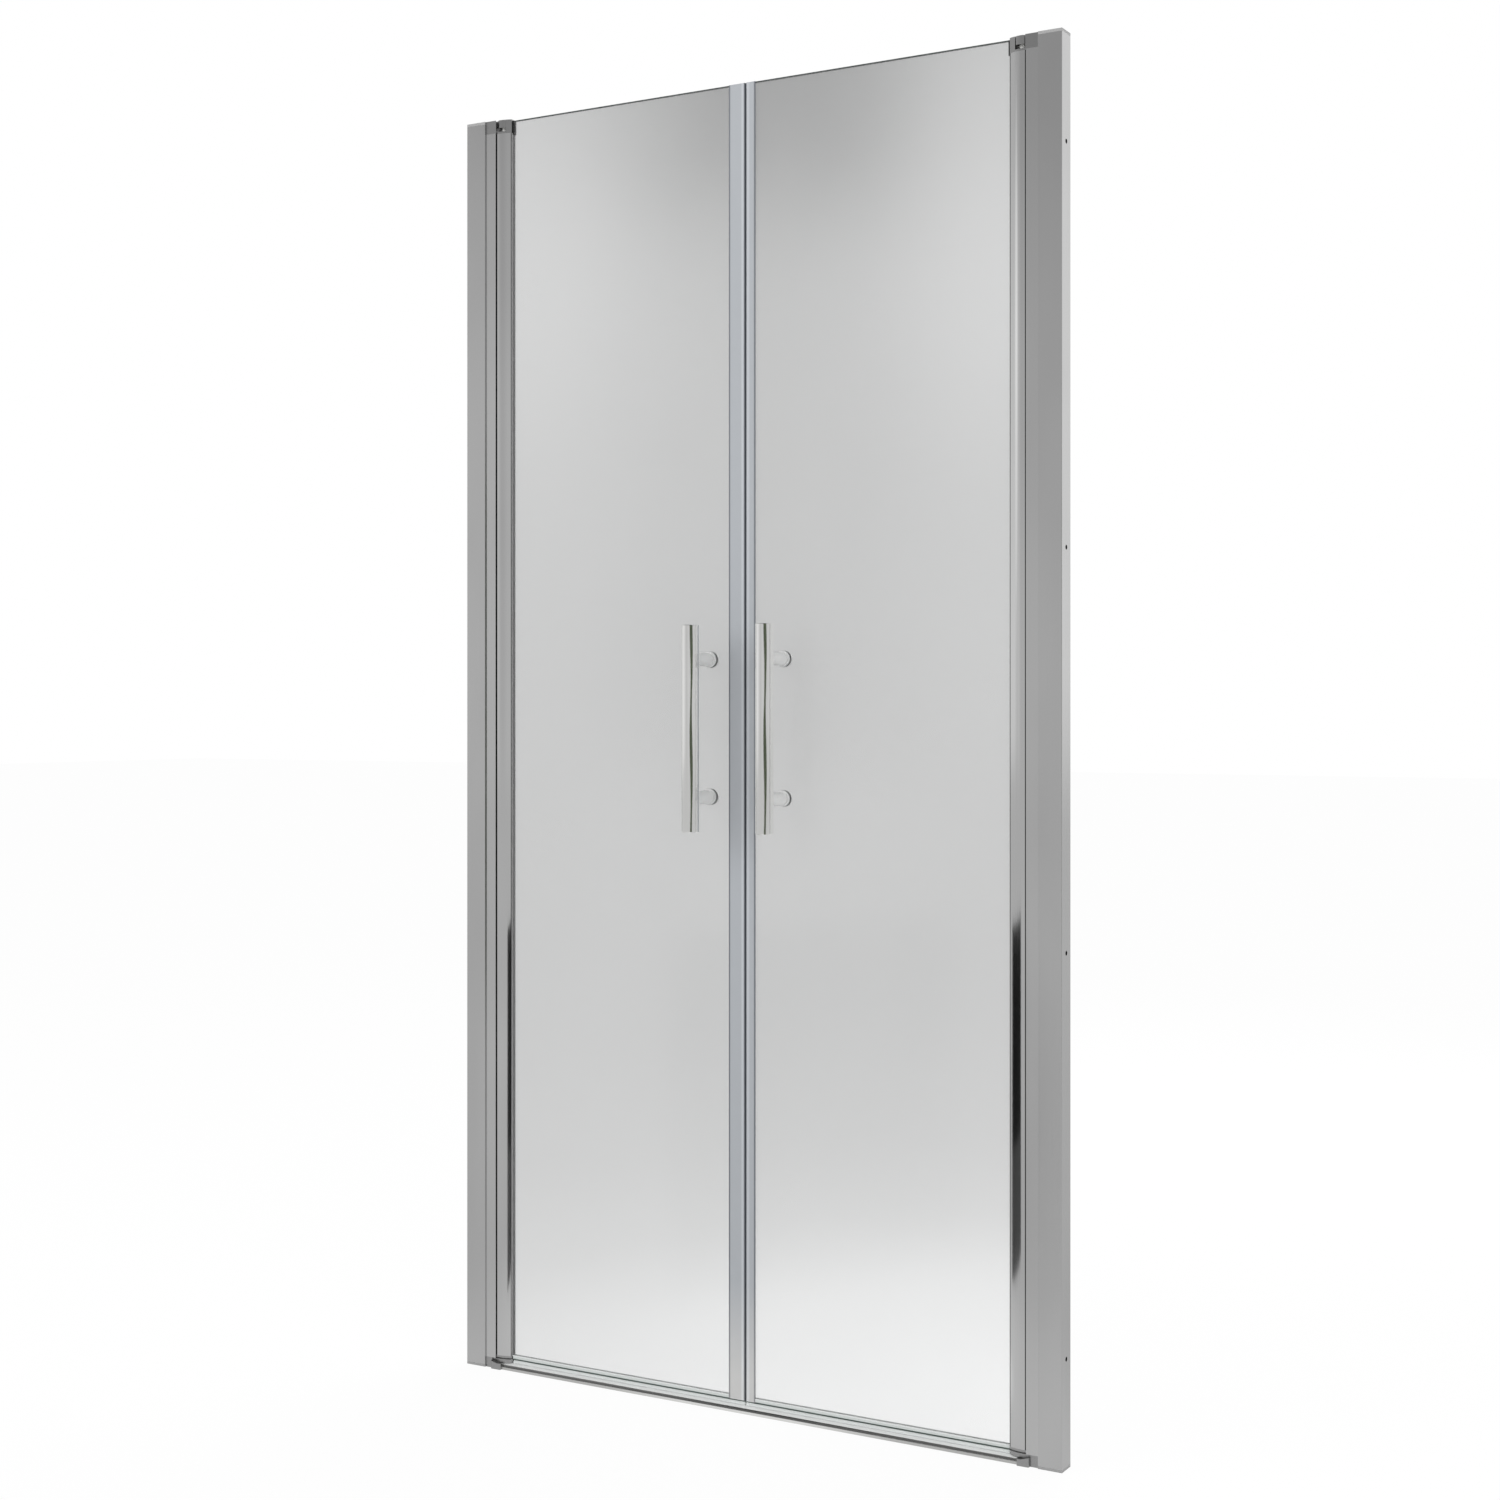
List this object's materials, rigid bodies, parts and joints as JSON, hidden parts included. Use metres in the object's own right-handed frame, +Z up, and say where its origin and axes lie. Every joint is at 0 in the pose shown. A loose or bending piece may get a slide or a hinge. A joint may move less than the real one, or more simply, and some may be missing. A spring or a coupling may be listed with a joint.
{
  "type": "double swing shower door",
  "caption": "Niche shower door with a pair of satin glass leaves that swing both ways on full height pivot profiles, with bar handles, magnetic edge seals and a low sill.",
  "frame": {"origin": "middle of the sill's underside, in the mid-plane of the closed glass", "axes": "+X along the door to the right seen from outside, -Y to the outside where the bar handles are, +Z up"},
  "size_m": [1, 0.0893, 1.95],
  "materials": {
    "profile": "bright polished extrusion",
    "pivot_block": "satin grey plated casting",
    "end_cap": "silver grey moulding",
    "screw": "plain stainless",
    "bush": "plain natural bearing plastic",
    "screw_cover": "silver grey moulding",
    "satin_glass": "satin etched safety glass",
    "gasket": "dark grey",
    "clear_seal": "clear flexible strip",
    "edge_seal": "bluish grey translucent strip",
    "magnet": "magnet strip",
    "handle": "polished",
    "clear_pad": "clear"
  },
  "bodies": {
    "frame": {"left_wall_channel": "profile", "left_channel_cap": "end_cap", "left_channel_foot": "end_cap", "left_hinge_post": "profile", "left_upper_pivot_block": "pivot_block", "left_lower_pivot_block": "pivot_block", "left_block_screws": "screw", "left_pivot_pins": "screw", "left_pivot_collar": "bush", "left_thrust_washer": "bush", "left_clamp_screws": "screw", "left_clamp_screw_covers": "screw_cover", "left_sill_end_cap": "pivot_block", "right_wall_channel": "profile", "right_channel_cap": "end_cap", "right_channel_foot": "end_cap", "right_hinge_post": "profile", "right_upper_pivot_block": "pivot_block", "right_lower_pivot_block": "pivot_block", "right_block_screws": "screw", "right_pivot_pins": "screw", "right_pivot_collar": "bush", "right_thrust_washer": "bush", "right_clamp_screws": "screw", "right_clamp_screw_covers": "screw_cover", "right_sill_end_cap": "pivot_block", "sill_rail": "profile"},
    "left_leaf": {"left_glass": "satin_glass", "left_leaf_profile": "profile", "left_glass_gasket": "gasket", "left_leaf_upper_cap": "pivot_block", "left_leaf_lower_cap": "pivot_block", "left_leaf_cap_screws": "screw", "left_pivot_bushes": "bush", "left_bottom_seal": "clear_seal", "left_magnet_seal": "edge_seal", "left_magnet_strip": "magnet", "left_handle_bar": "handle", "left_handle_plugs": "handle", "left_handle_standoffs": "handle", "left_handle_pads": "clear_pad", "left_handle_screws": "screw", "left_handle_rear_caps": "handle"},
    "right_leaf": {"right_glass": "satin_glass", "right_leaf_profile": "profile", "right_glass_gasket": "gasket", "right_leaf_upper_cap": "pivot_block", "right_leaf_lower_cap": "pivot_block", "right_leaf_cap_screws": "screw", "right_pivot_bushes": "bush", "right_bottom_seal": "clear_seal", "right_magnet_seal": "edge_seal", "right_magnet_strip": "magnet", "right_handle_bar": "handle", "right_handle_plugs": "handle", "right_handle_standoffs": "handle", "right_handle_pads": "clear_pad", "right_handle_screws": "screw", "right_handle_rear_caps": "handle"}
  },
  "joints": [
    {"name": "left_leaf_swing", "type": "hinge", "parent": "frame", "child": "left_leaf", "pos_m": [-0.437, 0, 0], "axis": [0, 0, 1], "range_deg": [-90, 90]},
    {"name": "right_leaf_swing", "type": "hinge", "parent": "frame", "child": "right_leaf", "pos_m": [0.437, 0, 0], "axis": [0, 0, 1], "range_deg": [-90, 90]}
  ]
}
